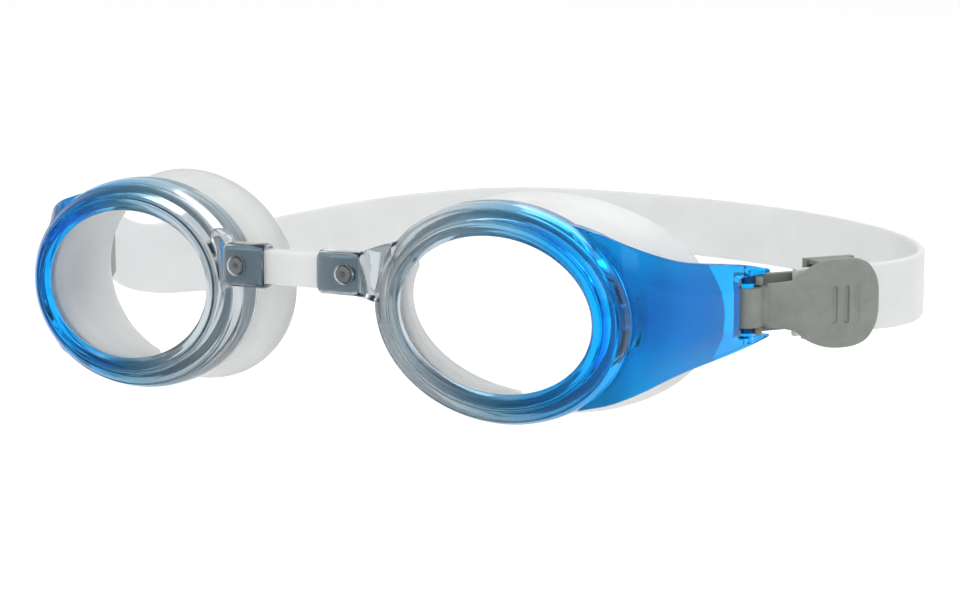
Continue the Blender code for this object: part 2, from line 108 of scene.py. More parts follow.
# Rows of the seal, with its shift to the temple, its slope, the depth gained per unit of u, and
# its drop.
SEAL_ROWS = (
    (16.8, 13.2, 5.2, 0.0, 0.0, 0.0),
    (18.5, 14.8, 5.2, 0.0, 0.0, 0.0),
    (18.5, 14.8, 9.3, 0.0, 0.0, 0.0),
    (19.8, 16.0, 9.9, 0.2, 0.0, -0.1),
    (21.0, 16.4, 13.0, 0.4, 0.08, -0.4),
    (22.6, 16.9, 17.0, 0.7, 0.18, -0.7),
    (25.9, 18.1, 21.6, 1.2, 0.28, -1.1),
    (26.3, 18.3, 22.4, 1.2, 0.295, -1.1),
    (25.8, 17.9, 22.9, 1.2, 0.295, -1.1),
    (23.8, 16.3, 22.9, 1.2, 0.295, -1.1),
    (21.4, 15.2, 22.0, 1.0, 0.29, -1.0),
    (19.6, 14.2, 20.0, 0.6, 0.26, -0.8),
    (18.6, 13.9, 15.0, 0.4, 0.14, -0.4),
    (18.1, 13.8, 11.0, 0.3, 0.04, -0.2),
    (17.6, 13.6, 9.0, 0.2, 0.0, -0.1),
)
SEAL_SPACE_ROWS = (
    (20.0, 16.2, -6.0, 0.0, 0.0, 0.0),
    (20.0, 16.2, 8.0, 0.0, 0.0, 0.0),
    (20.9, 17.0, 10.0, 0.2, 0.0, -0.1),
    (22.0, 17.4, 13.0, 0.4, 0.08, -0.4),
    (23.6, 17.9, 17.0, 0.7, 0.18, -0.7),
    (26.8, 19.0, 21.6, 1.2, 0.28, -1.1),
    (27.2, 19.2, 22.4, 1.2, 0.295, -1.1),
    (27.2, 19.2, 36.0, 1.2, 0.295, -1.1),
)
LENS_ROWS = (
    (17.3, 13.9, 4.6),
    (17.3, 13.9, 2.8),
    (17.0, 13.6, 2.6),
    (15.4, 11.9, 2.4),
    (12.0, 9.3, 2.24),
    (8.0, 6.2, 2.1),
    (4.0, 3.1, 2.03),
)

# The arm along its outer surface: x, depth, half height, thickness, share of its facets.
ARM_STATIONS = (
    (42.0, 6.1, 14.6, 2.6, 0.2),
    (45.0, 6.3, 14.7, 3.0, 0.3),
    (48.0, 6.6, 14.0, 3.0, 0.5),
    (51.0, 7.2, 13.2, 2.2, 0.7),
    (53.9, 8.8, 12.1, 1.7, 0.9),
    (56.7, 12.0, 10.8, 2.0, 1.0),
    (59.4, 17.3, 9.2, 2.6, 1.0),
    (61.6, 23.5, 8.2, 2.6, 1.0),
    (63.2, 29.3, 7.5, 2.6, 0.8),
    (64.5, 34.7, 6.7, 2.6, 0.5),
    (65.8, 39.4, 5.7, 2.4, 0.3),
)
ARM_ROOT_Z = -0.4
ARM_RIDGE = (0.92, 0.30)  # where the facets start, at the root and at the tip
ARM_FACET_SLOPE = 1.15  # how far a full facet falls back at the arm's edges
ARM_EDGE = 0.3
ARM_FACET_EDGE = 0.25
ARM_EDGE_RADIUS = 0.5
ARM_WINDOW_HALF_HEIGHT = 5.1
ARM_WINDOW_FRONT = 3.9
ARM_WINDOW_REAR = 14.0
ARM_WINDOW_HALF_DEPTH = 5.0
ARM_WINDOW_RADIUS = 1.1

# The bar that each clip turns on, and the clip's parts about it
BAR = Vector((63.0, 16.6, -1.5))
BAR_RADIUS = 1.3
BAR_EMBED = 0.9  # how deep each end sits in the arm
CLIP_ANGLE = {RIGHT: math.radians(50), LEFT: math.radians(62)}
# Distance from the bar, height off the strap's middle line, thickness and half height
LEVER_STATIONS = (
    (1.8, 0.3, 1.7, 3.1),
    (3.1, 0.6, 1.9, 3.3),
    (3.6, 0.8, 2.0, 3.6),
    (5.5, 1.7, 2.1, 3.8),
    (7.6, 2.75, 2.1, 4.3),
    (9.2, 2.95, 2.4, 5.5),
    (11.0, 3.15, 2.7, 6.5),
    (13.2, 3.35, 3.1, 7.2),
    (15.9, 3.45, 3.3, 7.4),
    (18.6, 3.3, 3.0, 7.2),
    (20.9, 3.05, 2.5, 6.3),
    (22.5, 2.8, 1.8, 4.4),
    (23.1, 2.7, 1.2, 2.7),
)
HOOK_INNER = 1.6
HOOK_OUTER = 2.7
BASE_HOOK_MOUTH = (math.radians(35), math.radians(145))
LEVER_HOOK_MOUTH = (math.radians(215), math.radians(325))
LEVER_HOOK_HALF_HEIGHT = 3.2
BASE_HOOK_Z = (3.5, 4.7)
# Low and high corners of the base's parts: distance from the bar, height off the strap, and z
BASE_PLATE = ((2.8, -3.0, -4.7), (12.4, -1.7, 4.7))
BASE_TAIL = ((12.2, -3.0, -6.7), (21.3, -1.7, 6.7))
WEB_RUN = (1.0, 3.0)
WEB_DEPTH = (-2.9, -1.6)
WEB_INSET = 0.05
CHEEK_Z = (5.9, 6.65)
CHEEK_RUN = (12.6, 20.0)
CHEEK_DEPTH = (-1.9, 1.35)
BASE_BEVEL = 0.22
GROOVE_PLACES = (13.7, 15.9, 18.1)
GROOVE_STEPS = ((4.75, 0.0), (4.95, 0.12), (7.0, 0.12))  # height off the strap, and growth
GROOVE_HALF_WIDTH = 0.42
GROOVE_HALF_LENGTH = 3.0
GROOVE_RADIUS = 0.4

# Nose bridge, sockets and pins
BRIDGE_Y = -19.4
BRIDGE_Z = 5.5
BRIDGE_HALF = Vector((12.1, 1.3, 2.8))
BRIDGE_GAP = 0.3
BRIDGE_END_RADIUS = 0.4
BRIDGE_EDGE_RADIUS = 0.55
SLEEVE_MOUTH_X = 4.9
# The socket along X: x, front, rear, bottom, top and corner radius
SOCKET_STATIONS = (
    (SLEEVE_MOUTH_X, -1.9, 1.9, -3.2, 3.2, 1.5),
    (SLEEVE_MOUTH_X + 0.15, -2.15, 2.15, -3.45, 3.45, 1.7),
    (SLEEVE_MOUTH_X + 0.5, -2.3, 2.3, -3.6, 3.6, 1.8),
    (8.0, -2.3, 2.3, -3.6, 3.6, 1.8),
    (10.8, -2.3, 2.3, -3.6, 3.6, 1.7),
    (11.6, -2.15, 2.35, -3.6, 3.55, 1.5),
    (12.5, -1.4, 2.9, -3.8, 3.7, 1.0),
    (13.4, -0.6, 3.9, -4.3, 4.1, 1.0),
    (14.9, 0.7, 5.2, -5.2, 4.6, 1.0),
    (16.5, 1.4, 6.5, -6.0, 5.0, 1.0),
)
SOCKET_LIP_STATIONS = 3  # the first stations, which no curve is drawn through
CAVITY_START_X = 3.0
CAVITY_RADIUS = 0.7
PIN_X = 9.8
PIN_RADIUS = 1.3
PIN_HOLE_DEPTH = (-4.0, 1.6)
PIN_CLEARANCE = 0.3
# Depth and radius along the pin, from its inner end to the dimple in its head
PIN_PROFILE = (
    (1.3, 1.1),
    (1.1, 1.3),
    (-2.2, 1.3),
    (-2.4, 1.22),
    (-2.5, 1.05),
    (-2.5, 0.62),
    (-2.42, 0.5),
    (-2.05, 0.3),
    (-2.0, 0.1),
)

# Head strap
STRAP_BACK = Vector((0.0, 97.6, -1.3))
STRAP_HALF_THICKNESS = 0.7
STRAP_HALF_HEIGHT = 5.6
STRAP_EXIT = 24.0
STRAP_EXIT_STEPS = 8
STRAP_EDGE_RADIUS = 0.5
# Where each half starts, how far it leaves straight, how flat it arrives and how much it sags
STRAP_HALVES = {RIGHT: (9.0, 24.0, 60.0, 0.0), LEFT: (10.0, 5.0, 100.0, 10.0)}

# Distance from the mid-plane at which the plastic has each colour
TINT_SPAN = 70.0
TINT_STOPS = (
    (14.0, (0.50, 0.54, 0.56)),
    (24.0, (0.50, 0.57, 0.61)),
    (34.0, (0.17, 0.41, 0.58)),
    (43.0, (0.015, 0.33, 0.76)),
    (52.0, (0.001, 0.37, 0.95)),
)

# Stage. The floor's height is in millimetres, and its half size in metres.
FLOOR_Z = -60.0
FLOOR_HALF_SIZE = 6.0
WORLD_STRENGTH = 1.03
# Each light's place and size in metres, and its power
LIGHT_TARGET = (0.0, 0.02, 0.0)
LIGHTS = {
    "key": ((-0.35, -0.55, 0.75), (0.5, 0.5), 2.5),
    "fill": ((0.8, -0.3, 0.5), (0.5, 0.6), 2.2),
    "back": ((0.1, 0.8, 0.6), (0.9, 0.4), 1.9),
}


# Meshes


def add_piece(name, points, faces, side=RIGHT, sharp=35):
    """One mesh object from points in millimetres. The left side is the right side mirrored."""
    placed = [Vector((side * point.x, point.y, point.z)) * MM for point in points]
    if side == LEFT:
        faces = [tuple(reversed(face)) for face in faces]
    mesh = bpy.data.meshes.new(name)
    mesh.from_pydata(placed, [], faces)
    obj = bpy.data.objects.new(name, mesh)
    bpy.context.scene.collection.objects.link(obj)
    smooth(obj, sharp)
    return obj


def smooth(obj, sharp):
    obj.data.shade_smooth()
    obj.data.set_sharp_from_angle(angle=math.radians(sharp))


def apply_modifiers(obj):
    """Bakes an object's modifiers into its mesh."""
    depsgraph = bpy.context.evaluated_depsgraph_get()
    mesh = bpy.data.meshes.new_from_object(obj.evaluated_get(depsgraph))
    obj.modifiers.clear()
    old = obj.data
    obj.data = mesh
    bpy.data.meshes.remove(old)


def combine(target, operation, other):
    """A Boolean of two closed meshes, applied at once. The other object is used up."""
    modifier = target.modifiers.new(operation, "BOOLEAN")
    modifier.operation = operation
    modifier.solver = "MANIFOLD"
    modifier.object = other
    apply_modifiers(target)
    bpy.data.objects.remove(other, do_unlink=True)


def bevel(obj, width, segments=2, angle=40):
    modifier = obj.modifiers.new("bevel", "BEVEL")
    modifier.width = width * MM
    modifier.segments = segments
    modifier.limit_method = "ANGLE"
    modifier.angle_limit = math.radians(angle)
    modifier.harden_normals = False
    apply_modifiers(obj)


def ring_faces(rings, count, closed):
    faces = []
    for ring in range(rings if closed else rings - 1):
        following = (ring + 1) % rings
        for i in range(count):
            j = (i + 1) % count
            faces.append((ring * count + i, ring * count + j, following * count + j, following * count + i))
    return faces


def loft(sections):
    """A solid through closed sections of equal point count, with flat ends."""
    count = len(sections[0])
    last = (len(sections) - 1) * count
    faces = ring_faces(len(sections), count, closed=False)
    faces.append(tuple(range(count - 1, -1, -1)))
    faces.append(tuple(range(last, last + count)))
    return [point for section in sections for point in section], faces


def turned_band(rings):
    """A closed band whose cross-section goes all the way round, so it has no ends."""
    faces = ring_faces(len(rings), len(rings[0]), closed=True)
    return [point for ring in rings for point in ring], faces


def blend_rows(first, second, share):
    return tuple(a + (b - a) * share for a, b in zip(first, second))


def soften_rows(rows, radius, steps=3, closed=True):
    """Rounds each corner of a profile, whose rows start with width, height and depth."""
    soft = []
    count = len(rows)
    for i, row in enumerate(rows):
        if not closed and i in (0, count - 1):
            soft.append(row)
            continue
        ends = []
        for other in (rows[i - 1], rows[(i + 1) % count]):
            length = math.dist(row[:3], other[:3])
            ends.append(blend_rows(row, other, min(radius / length, 0.42)))
        for step in range(steps + 1):
            t = step / steps
            near = blend_rows(ends[0], row, t)
            far = blend_rows(row, ends[1], t)
            soft.append(blend_rows(near, far, t))
    return soft


def spread_rows(rows, per_gap):
    """More rows along a smooth curve through the given ones."""
    spread = []
    for i in range(len(rows) - 1):
        p0 = rows[max(i - 1, 0)]
        p1 = rows[i]
        p2 = rows[i + 1]
        p3 = rows[min(i + 2, len(rows) - 1)]
        for step in range(per_gap):
            t = step / per_gap
            spread.append(tuple(catmull_rom(*values, t) for values in zip(p0, p1, p2, p3)))
    spread.append(tuple(rows[-1]))
    return spread


def catmull_rom(a, b, c, d, t):
    return 0.5 * (2 * b + (c - a) * t + (2 * a - 5 * b + 4 * c - d) * t**2 + (3 * b - a - 3 * c + d) * t**3)


def cup_point(u, v, w):
    across = u * math.cos(TILT) - v * math.sin(TILT)
    up = u * math.sin(TILT) + v * math.cos(TILT)
    x = CUP_X + across * math.cos(WRAP) - w * math.sin(WRAP)
    y = CUP_FRONT_Y + across * math.sin(WRAP) + w * math.cos(WRAP)
    return Vector((x, y, up))


def cup_ring(half_width, half_height, depth, shift=0.0, slope=0.0, drop=0.0):
    """An ellipse about the cup's axis, counterclockwise as seen from the face side."""
    ring = []
    for i in range(CUP_SEGMENTS):
        turn = 2 * math.pi * i / CUP_SEGMENTS
        u = shift + half_width * math.cos(turn)
        v = drop - half_height * math.sin(turn)
        ring.append(cup_point(u, v, depth + slope * u))
    return ring


def rounded_section(middle, across, up, half_width, half_height, power=4.0, count=48):
    """A closed section between an ellipse (power 2) and a rectangle, in the plane of two axes."""
    section = []
    for i in range(count):
        turn = 2 * math.pi * i / count
        c = math.cos(turn)
        s = math.sin(turn)
        x = math.copysign(abs(c) ** (2 / power), c) * half_width
        z = math.copysign(abs(s) ** (2 / power), s) * half_height
        section.append(middle + across * x + up * z)
    return section


def corner_section(middle, across, up, half_width, half_height, radius, per_corner=5, per_side=4):
    """A rectangle with round corners of one radius, in the plane of two axes."""
    outline = []
    corners = ((1, 1, 0), (-1, 1, 90), (-1, -1, 180), (1, -1, 270))
    for sign_x, sign_z, start in corners:
        for i in range(per_corner + 1):
            turn = math.radians(start + 90 * i / per_corner)
            x = sign_x * (half_width - radius) + radius * math.cos(turn)
            z = sign_z * (half_height - radius) + radius * math.sin(turn)
            outline.append((x, z))
    full = []
    for i, (x, z) in enumerate(outline):
        full.append((x, z))
        if i % (per_corner + 1) == per_corner:
            next_x, next_z = outline[(i + 1) % len(outline)]
            for step in range(1, per_side):
                t = step / per_side
                full.append((x + (next_x - x) * t, z + (next_z - z) * t))
    return [middle + across * x + up * z for x, z in full]


def box_between(low, high, along=Vector((1, 0, 0)), base=Vector()):
    across = UP.cross(along)
    sections = []
    for x in (low[0], high[0]):
        corners = ((low[1], low[2]), (high[1], low[2]), (high[1], high[2]), (low[1], high[2]))
        middle = base + along * x
        sections.append([middle + across * y + UP * z for y, z in corners])
    return loft(sections)


def cylinder_between(start, end, radius, count=48):
    axis = (end - start).normalized()
    across = axis.orthogonal().normalized()
    up = axis.cross(across)
    return loft([rounded_section(place, across, up, radius, radius, 2.0, count) for place in (start, end)])


# Frame


def seal_space(side):
    return add_piece("seal_space", *loft([cup_ring(*row) for row in SEAL_SPACE_ROWS]), side)


def frame_ring(side):
    rings = []
    for half_width, half_height, depth, share in soften_rows(FRAME_ROWS, 0.16):
        shift, drop = (offset * share for offset in RIM_OFFSET)
        rings.append(cup_ring(half_width, half_height, depth, shift, 0.0, drop))
    return add_piece(f"{SIDE_NAMES[side]}_cup_frame", *turned_band(rings), side)


def arm_section(middle, inward, half_thickness, half_height, facet, ridge):
    """Flat outer face with sloping facets above and below, and a flat rear face.

    The facets start at the share of the half height that ridge gives.
    """
    slope = ARM_FACET_SLOPE * facet
    outline = (
        (half_thickness, -half_height + ARM_EDGE),
        (half_thickness, half_height - ARM_EDGE),
        (half_thickness - ARM_EDGE, half_height),
        (-half_thickness + slope + ARM_FACET_EDGE, half_height),
        (-half_thickness + slope, half_height - ARM_FACET_EDGE),
        (-half_thickness, half_height * ridge),
        (-half_thickness, -half_height * ridge),
        (-half_thickness + slope, -half_height + ARM_FACET_EDGE),
        (-half_thickness + slope + ARM_FACET_EDGE, -half_height),
        (half_thickness - ARM_EDGE, -half_height),
    )
    rows = [(x, z, 0.0) for x, z in outline]
    soft = soften_rows(rows, ARM_EDGE_RADIUS, steps=4)
    return [middle + inward * x + UP * z for x, z, _ in soft]


def arm_rows():
    first_x = ARM_STATIONS[0][0]
    last_x = ARM_STATIONS[-1][0]
    rows = []
    for x, depth, *rest in spread_rows(ARM_STATIONS, 6):
        share = (x - first_x) / (last_x - first_x)
        z = ARM_ROOT_Z + (BAR.z - ARM_ROOT_Z) * share
        ridge = ARM_RIDGE[0] + (ARM_RIDGE[1] - ARM_RIDGE[0]) * share
        rows.append((Vector((x, CUP_FRONT_Y + depth, z)), *rest, ridge))
    return rows


def arm_direction():
    (x0, y0, *_), (x1, y1, *_) = ARM_STATIONS[-3], ARM_STATIONS[-1]
    return Vector((x1 - x0, y1 - y0, 0)).normalized()


def arm(side):
    """The band from the cup's temple side back to the bar, with its end opened for the clip."""
    rows = arm_rows()
    sections = []
    for i, (place, half_height, thickness, facet, ridge) in enumerate(rows):
        along = (rows[min(i + 1, len(rows) - 1)][0] - rows[max(i - 1, 0)][0]).normalized()
        inward = UP.cross(along)
        middle = place + inward * thickness / 2
        sections.append(arm_section(middle, inward, thickness / 2, half_height, facet, ridge))
    band = add_piece("arm", *loft(sections), side)
    combine(band, "DIFFERENCE", seal_space(side))
    combine(band, "DIFFERENCE", add_piece("arm_window", *arm_window(), side))
    reach = UP * (ARM_WINDOW_HALF_HEIGHT + BAR_EMBED)
    bar = cylinder_between(BAR - reach, BAR + reach, BAR_RADIUS)
    combine(band, "UNION", add_piece("arm_bar", *bar, side))
    return band


def arm_window():
    """The slot for the clip, with round corners at its front edge."""
    along = arm_direction()
    across = UP.cross(along)
    sections = []
    half_length = (ARM_WINDOW_REAR + ARM_WINDOW_FRONT) / 2
    for y in (-ARM_WINDOW_HALF_DEPTH, ARM_WINDOW_HALF_DEPTH):
        middle = BAR + along * ((ARM_WINDOW_REAR - ARM_WINDOW_FRONT) / 2) + across * y
        sections.append(
            corner_section(middle, along, UP, half_length, ARM_WINDOW_HALF_HEIGHT, ARM_WINDOW_RADIUS)
        )
    points, faces = loft(sections)
    return points, [tuple(reversed(face)) for face in faces]


def sleeve_section(x, front, rear, low, high, radius):
    middle = Vector((x, BRIDGE_Y + (rear + front) / 2, BRIDGE_Z + (high + low) / 2))
    return corner_section(middle, Vector((0, 1, 0)), UP, (rear - front) / 2, (high - low) / 2, radius)


def socket(side):
    """The sleeve that takes the nose bridge, growing into the cup's nose side."""
    lip = SOCKET_STATIONS[:SOCKET_LIP_STATIONS]
    flare = spread_rows(SOCKET_STATIONS[SOCKET_LIP_STATIONS:], 4)
    sections = [sleeve_section(*row) for row in (*lip, *flare)]
    body = add_piece("socket", *loft(sections), side)
    combine(body, "DIFFERENCE", seal_space(side))
    return body


def socket_cavity(side):
    half_depth = BRIDGE_HALF.y + BRIDGE_GAP
    half_height = BRIDGE_HALF.z + BRIDGE_GAP
    sections = [
        sleeve_section(x, -half_depth, half_depth, -half_height, half_height, CAVITY_RADIUS)
        for x in (CAVITY_START_X, BRIDGE_HALF.x + BRIDGE_GAP)
    ]
    return add_piece("socket_cavity", *loft(sections), side)


def pin_hole(side):
    start, end = (Vector((PIN_X, BRIDGE_Y + depth, BRIDGE_Z)) for depth in PIN_HOLE_DEPTH)
    return add_piece("pin_hole", *cylinder_between(start, end, PIN_RADIUS + PIN_CLEARANCE), side)


def build_frame(side):
    frame = frame_ring(side)
    combine(frame, "UNION", arm(side))
    combine(frame, "UNION", socket(side))
    combine(frame, "DIFFERENCE", socket_cavity(side))
    combine(frame, "DIFFERENCE", pin_hole(side))
    smooth(frame, 28)
    return frame


# Cups' other pieces


def build_lens(side):
    rings = [cup_ring(*row) for row in LENS_ROWS]
    points, faces = loft(rings)
    return add_piece(f"{SIDE_NAMES[side]}_clear_lens", points, [tuple(reversed(f)) for f in faces], side)


def build_seal(side):
    rings = [cup_ring(*row) for row in soften_rows(SEAL_ROWS, 0.7, steps=4)]
    return add_piece(f"{SIDE_NAMES[side]}_face_seal", *turned_band(rings), side, sharp=60)


def build_pin(side):
    """A turned pin with a rounded head and a dimple in it."""
    sections = []
    for depth, radius in PIN_PROFILE:
        middle = Vector((PIN_X, BRIDGE_Y + depth, BRIDGE_Z))
        sections.append(rounded_section(middle, Vector((1, 0, 0)), UP, radius, radius, 2.0, 40))
    return add_piece(f"{SIDE_NAMES[side]}_locking_pin", *loft(sections), side, sharp=50)


def build_bridge():
    """The soft bar, in many steps along its length."""
    steps = 72
    sections = []
    for i in range(steps + 1):
        x = BRIDGE_HALF.x * (2 * i / steps - 1)
        rim = min(BRIDGE_HALF.x - abs(x), BRIDGE_END_RADIUS)
        rise = math.sqrt(max(0.0, BRIDGE_END_RADIUS**2 - (BRIDGE_END_RADIUS - rim) ** 2))
        inset = BRIDGE_END_RADIUS - rise
        middle = Vector((x, BRIDGE_Y, BRIDGE_Z))
        half_depth = BRIDGE_HALF.y - inset
        half_height = BRIDGE_HALF.z - inset
        across = Vector((0, 1, 0))
        sections.append(
            corner_section(middle, across, UP, half_depth, half_height, BRIDGE_EDGE_RADIUS)
        )
    bar = add_piece("nose_bridge_bar", *loft(sections), sharp=60)
    for side in (RIGHT, LEFT):
        combine(bar, "DIFFERENCE", pin_hole(side))
    smooth(bar, 50)
    return bar


# Clips


def clip_axes(side):
    turn = CLIP_ANGLE[side]
    along = Vector((math.cos(turn), math.sin(turn), 0))
    return along, UP.cross(along) * -1


def hook(side, mouth, low, high):
    """A C about the bar, open at its mouth."""
    along, off_face = clip_axes(side)
    steps = 40
    sweep = 2 * math.pi - (mouth[1] - mouth[0])
    outline = []
    for radius, order in ((HOOK_OUTER, range(steps + 1)), (HOOK_INNER, range(steps, -1, -1))):
        for i in order:
            turn = mouth[1] + sweep * i / steps
            outline.append(BAR + (along * math.cos(turn) + off_face * math.sin(turn)) * radius)
    points, faces = loft([[point + UP * z for point in outline] for z in (low, high)])
    return points, [tuple(reversed(face)) for face in faces]


def clip_box(side, low, high):
    along, _ = clip_axes(side)
    return box_between((low[0], -high[1], low[2]), (high[0], -low[1], high[2]), along, BAR)


def build_clip_base(side):
    """The clip's rear half: a plate behind the strap, two cheeks beside it and two hooks."""
    base = add_piece(f"{SIDE_NAMES[side]}_clip_plate", *clip_box(side, *BASE_PLATE), side)
    combine(base, "UNION", add_piece("tail", *clip_box(side, *BASE_TAIL), side))
    for sign in (1, -1):
        low, high = sorted(sign * z for z in BASE_HOOK_Z)
        web_low = (WEB_RUN[0], WEB_DEPTH[0], low + WEB_INSET)
        web_high = (WEB_RUN[1], WEB_DEPTH[1], high - WEB_INSET)
        combine(base, "UNION", add_piece("web", *clip_box(side, web_low, web_high), side))
        combine(base, "UNION", add_piece("hook", *hook(side, BASE_HOOK_MOUTH, low, high), side))
        low, high = sorted(sign * z for z in CHEEK_Z)
        cheek_low = (CHEEK_RUN[0], CHEEK_DEPTH[0], low)
        cheek_high = (CHEEK_RUN[1], CHEEK_DEPTH[1], high)
        combine(base, "UNION", add_piece("cheek", *clip_box(side, cheek_low, cheek_high), side))
    bevel(base, BASE_BEVEL)
    smooth(base, 35)
    return base


def build_lever(side):
    """The clip's front half: a neck and a soft-cornered thumb pad, hooked on the bar."""
    along, off_face = clip_axes(side)
    sections = []
    for distance, height, thickness, half_height in spread_rows(LEVER_STATIONS, 5):
        middle = BAR + along * distance + off_face * height
        sections.append(
            rounded_section(middle, off_face * -1, UP, thickness / 2, half_height, 3.2, 64)
        )
    lever = add_piece(f"{SIDE_NAMES[side]}_thumb_lever", *loft(sections), side)
    hook_shape = hook(side, LEVER_HOOK_MOUTH, -LEVER_HOOK_HALF_HEIGHT, LEVER_HOOK_HALF_HEIGHT)
    combine(lever, "UNION", add_piece("lever_hook", *hook_shape, side))
    for distance in GROOVE_PLACES:
        groove = grip_groove(side, distance)
        combine(lever, "DIFFERENCE", add_piece("grip_groove", *groove, side))
    smooth(lever, 35)
    return lever


def grip_groove(side, distance):
    """A shallow slot across the thumb pad, for grip."""
    along, off_face = clip_axes(side)
    sections = []
    for height, grow in GROOVE_STEPS:
        middle = BAR + along * distance + off_face * height
        half_width = GROOVE_HALF_WIDTH + grow
        half_length = GROOVE_HALF_LENGTH + grow
        sections.append(corner_section(middle, along, UP, half_width, half_length, GROOVE_RADIUS))
    return loft(sections)


# Strap


def bezier(p0, p1, p2, p3, t):
    s = 1 - t
    return p0 * s**3 + p1 * 3 * s * s * t + p2 * 3 * s * t * t + p3 * t**3


def strap_half_path(side, steps=110):
    """The strap's middle line from inside one clip to the back of the head."""
    start, leave, flat, sag = STRAP_HALVES[side]
    along, _ = clip_axes(side)
    out = BAR + along * STRAP_EXIT
    path = []
    for i in range(STRAP_EXIT_STEPS):
        path.append(BAR + along * (start + (STRAP_EXIT - start) * i / STRAP_EXIT_STEPS))
    for i in range(steps + 1):
        t = i / steps
        place = bezier(out, out + along * leave, STRAP_BACK + Vector((flat, 0, 0)), STRAP_BACK, t)
        rise = (STRAP_BACK.z - BAR.z) * t * t * (3 - 2 * t)
        place.z = BAR.z + rise - 16 * sag * t * t * (1 - t) ** 2
        path.append(place)
    return [Vector((side * place.x, place.y, place.z)) for place in path]


def build_strap():
    """One band from clip to clip, round the back of the head."""
    path = strap_half_path(RIGHT) + strap_half_path(LEFT)[-2::-1]
    sections = []
    for i, middle in enumerate(path):
        along = (path[min(i + 1, len(path) - 1)] - path[max(i - 1, 0)]).normalized()
        across = UP.cross(along).normalized()
        half_size = (STRAP_HALF_THICKNESS, STRAP_HALF_HEIGHT)
        sections.append(corner_section(middle, across, UP, *half_size, STRAP_EDGE_RADIUS, 4, 6))
    return add_piece("head_strap", *loft(sections), sharp=60)


# Materials


def new_material(name):
    made = bpy.data.materials.new(name)
    made.use_nodes = True
    tree = made.node_tree
    return made, tree, tree.nodes["Principled BSDF"]


def noise(tree, scale, detail=3.0):
    coordinates = tree.nodes.new("ShaderNodeTexCoord")
    texture = tree.nodes.new("ShaderNodeTexNoise")
    texture.inputs["Scale"].default_value = scale
    texture.inputs["Detail"].default_value = detail
    tree.links.new(coordinates.outputs["Object"], texture.inputs["Vector"])
    return texture.outputs["Fac"]


def ease(tree, value, start, end, low, high):
    """A value that goes from low to high as another goes from start to end."""
    node = tree.nodes.new("ShaderNodeMapRange")
    node.inputs["From Min"].default_value = start
    node.inputs["From Max"].default_value = end
    node.inputs["To Min"].default_value = low
    node.inputs["To Max"].default_value = high
    tree.links.new(value, node.inputs["Value"])
    return node.outputs["Result"]


def remap(tree, value, low, high):
    """The middle of a noise's spread, stretched to run from low to high."""
    return ease(tree, value, 0.3, 0.7, low, high)


def bump(tree, shader, height, strength, distance):
    node = tree.nodes.new("ShaderNodeBump")
    node.inputs["Strength"].default_value = strength
    node.inputs["Distance"].default_value = distance * MM
    tree.links.new(height, node.inputs["Height"])
    tree.links.new(node.outputs["Normal"], shader.inputs["Normal"])


def colour_ramp(tree, value, stops):
    """stops are pairs of place and colour."""
    node = tree.nodes.new("ShaderNodeValToRGB")
    ramp = node.color_ramp
    while len(ramp.elements) < len(stops):
        ramp.elements.new(0.5)
    for element, (place, colour) in zip(ramp.elements, stops):
        element.position = place
        element.color = (*colour, 1.0)
    tree.links.new(value, node.inputs["Fac"])
    return node.outputs["Color"]


def math_node(tree, operation, first, second=None):
    node = tree.nodes.new("ShaderNodeMath")
    node.operation = operation
    for socket_index, value in enumerate((first, second)):
        if value is None:
            continue
        if isinstance(value, (int, float)):
            node.inputs[socket_index].default_value = value
        else:
            tree.links.new(value, node.inputs[socket_index])
    return node.outputs[0]


def paint_shade_below(tree, colour, outward, height):
    """A colour with painted shade: darker towards the bottom of the rings, where less light falls."""
    painted_shade_by_height = ease(tree, height, -17.0 * MM, -7.0 * MM, 0.56, 1.0)
    by_place = ease(tree, outward, 46.0 * MM, 54.0 * MM, 0.0, 1.0)
    scaled = tree.nodes.new("ShaderNodeVectorMath")
    scaled.operation = "SCALE"
    tree.links.new(colour, scaled.inputs[0])
    tree.links.new(math_node(tree, "MAXIMUM", painted_shade_by_height, by_place), scaled.inputs["Scale"])
    return scaled.outputs["Vector"]


def tinted_polycarbonate():
    """Clear plastic whose colour runs from smoke grey at the nose to blue at the temples."""
    made, tree, shader = new_material("tinted_polycarbonate")
    shader.inputs["Transmission Weight"].default_value = 1.0
    shader.inputs["IOR"].default_value = 1.49
    shader.inputs["Specular Tint"].default_value = (0.22, 0.6, 1.0, 1.0)
    coordinates = tree.nodes.new("ShaderNodeTexCoord")
    split = tree.nodes.new("ShaderNodeSeparateXYZ")
    tree.links.new(coordinates.outputs["Object"], split.inputs["Vector"])
    outward = math_node(tree, "ABSOLUTE", split.outputs["X"])
    wander = remap(tree, noise(tree, 60.0), -1.2 * MM, 1.2 * MM)
    place = math_node(tree, "ADD", outward, wander)
    share = math_node(tree, "DIVIDE", place, TINT_SPAN * MM)
    stops = [(distance / TINT_SPAN, colour) for distance, colour in TINT_STOPS]
    # The tint gets painted shade, darker towards the bottom of the rings.
    tint_with_painted_shade = paint_shade_below(tree, colour_ramp(tree, share, stops), outward, split.outputs["Z"])
    tree.links.new(tint_with_painted_shade, shader.inputs["Base Color"])
    tree.links.new(remap(tree, noise(tree, 900.0), 0.06, 0.12), shader.inputs["Roughness"])
    bump(tree, shader, noise(tree, 260.0, 2.0), 0.08, 0.05)
    return made


def clear_polycarbonate():
    made, tree, shader = new_material("clear_polycarbonate")
    shader.inputs["Transmission Weight"].default_value = 1.0
    shader.inputs["IOR"].default_value = 1.3
    cloud = noise(tree, 40.0)
    stops = ((0.3, (0.975, 0.985, 0.99)), (0.7, (0.99, 0.99, 0.985)))
    tree.links.new(colour_ramp(tree, cloud, stops), shader.inputs["Base Color"])
    tree.links.new(remap(tree, noise(tree, 500.0), 0.0, 0.02), shader.inputs["Roughness"])
    return made


